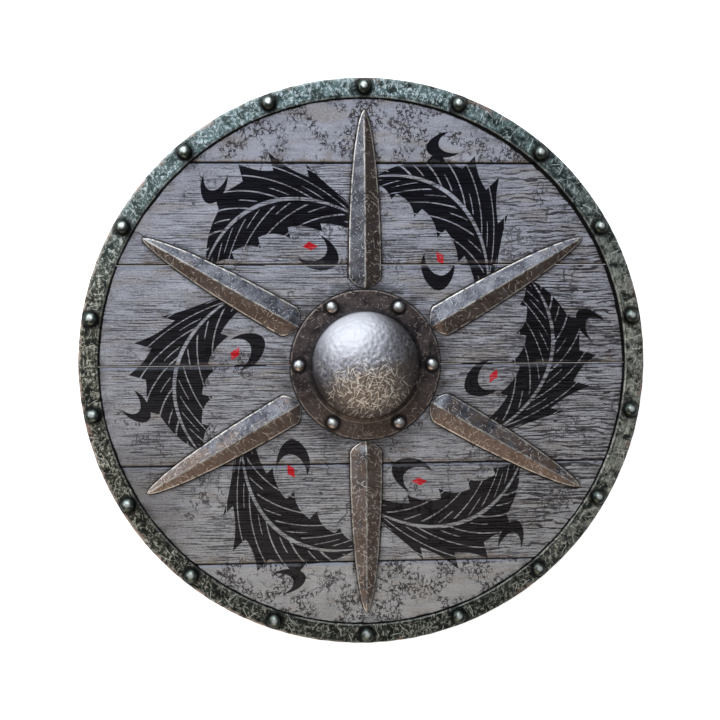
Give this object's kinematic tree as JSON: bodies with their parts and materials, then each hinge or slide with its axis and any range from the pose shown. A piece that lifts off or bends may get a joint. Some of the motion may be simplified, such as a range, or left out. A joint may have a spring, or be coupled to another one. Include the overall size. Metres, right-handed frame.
{
  "type": "round shield",
  "caption": "Round wooden shield of painted planks with a riveted iron rim, a hollow central boss ringed by long spikes, and a wooden grip and battens across the back.",
  "frame": {"origin": "middle of the shield, at the underside of the grip and battens that it lies on", "axes": "+Z out of the face through the boss, +X along the planks, +Y across the planks along the grip"},
  "size_m": [0.609, 0.61, 0.0866],
  "materials": {
    "painted_wood": "worn grey and black paint over open grain",
    "bare_wood": "oiled, darkened by handling",
    "rim_iron": "hammered, dark green-black with bright scratches",
    "forged_iron": "hammered and scratched, browned in the lows",
    "rivet_iron": "worn bright on the crown"
  },
  "bodies": {
    "root": {"plank_01": "painted_wood", "plank_02": "painted_wood", "plank_03": "painted_wood", "plank_04": "painted_wood", "plank_05": "painted_wood", "plank_06": "painted_wood", "rim": "rim_iron", "rim_rivet_01": "rivet_iron", "rim_rivet_02": "rivet_iron", "rim_rivet_03": "rivet_iron", "rim_rivet_04": "rivet_iron", "rim_rivet_05": "rivet_iron", "rim_rivet_06": "rivet_iron", "rim_rivet_07": "rivet_iron", "rim_rivet_08": "rivet_iron", "rim_rivet_09": "rivet_iron", "rim_rivet_10": "rivet_iron", "rim_rivet_11": "rivet_iron", "rim_rivet_12": "rivet_iron", "rim_rivet_13": "rivet_iron", "rim_rivet_14": "rivet_iron", "rim_rivet_15": "rivet_iron", "rim_rivet_16": "rivet_iron", "rim_rivet_17": "rivet_iron", "rim_rivet_18": "rivet_iron", "boss": "forged_iron", "boss_rivet_01": "rivet_iron", "boss_rivet_02": "rivet_iron", "boss_rivet_03": "rivet_iron", "boss_rivet_04": "rivet_iron", "boss_rivet_05": "rivet_iron", "boss_rivet_06": "rivet_iron", "spike_01": "forged_iron", "spike_02": "forged_iron", "spike_03": "forged_iron", "spike_04": "forged_iron", "spike_05": "forged_iron", "spike_06": "forged_iron", "batten_left": "bare_wood", "batten_right": "bare_wood", "grip": "bare_wood", "nail_01": "rivet_iron", "nail_02": "rivet_iron", "nail_03": "rivet_iron", "nail_04": "rivet_iron", "nail_05": "rivet_iron", "nail_06": "rivet_iron", "nail_07": "rivet_iron", "nail_08": "rivet_iron", "nail_09": "rivet_iron", "nail_10": "rivet_iron", "nail_11": "rivet_iron", "nail_12": "rivet_iron", "nail_13": "rivet_iron", "nail_14": "rivet_iron", "nail_15": "rivet_iron", "nail_16": "rivet_iron", "nail_17": "rivet_iron", "nail_18": "rivet_iron"}
  },
  "joints": []
}
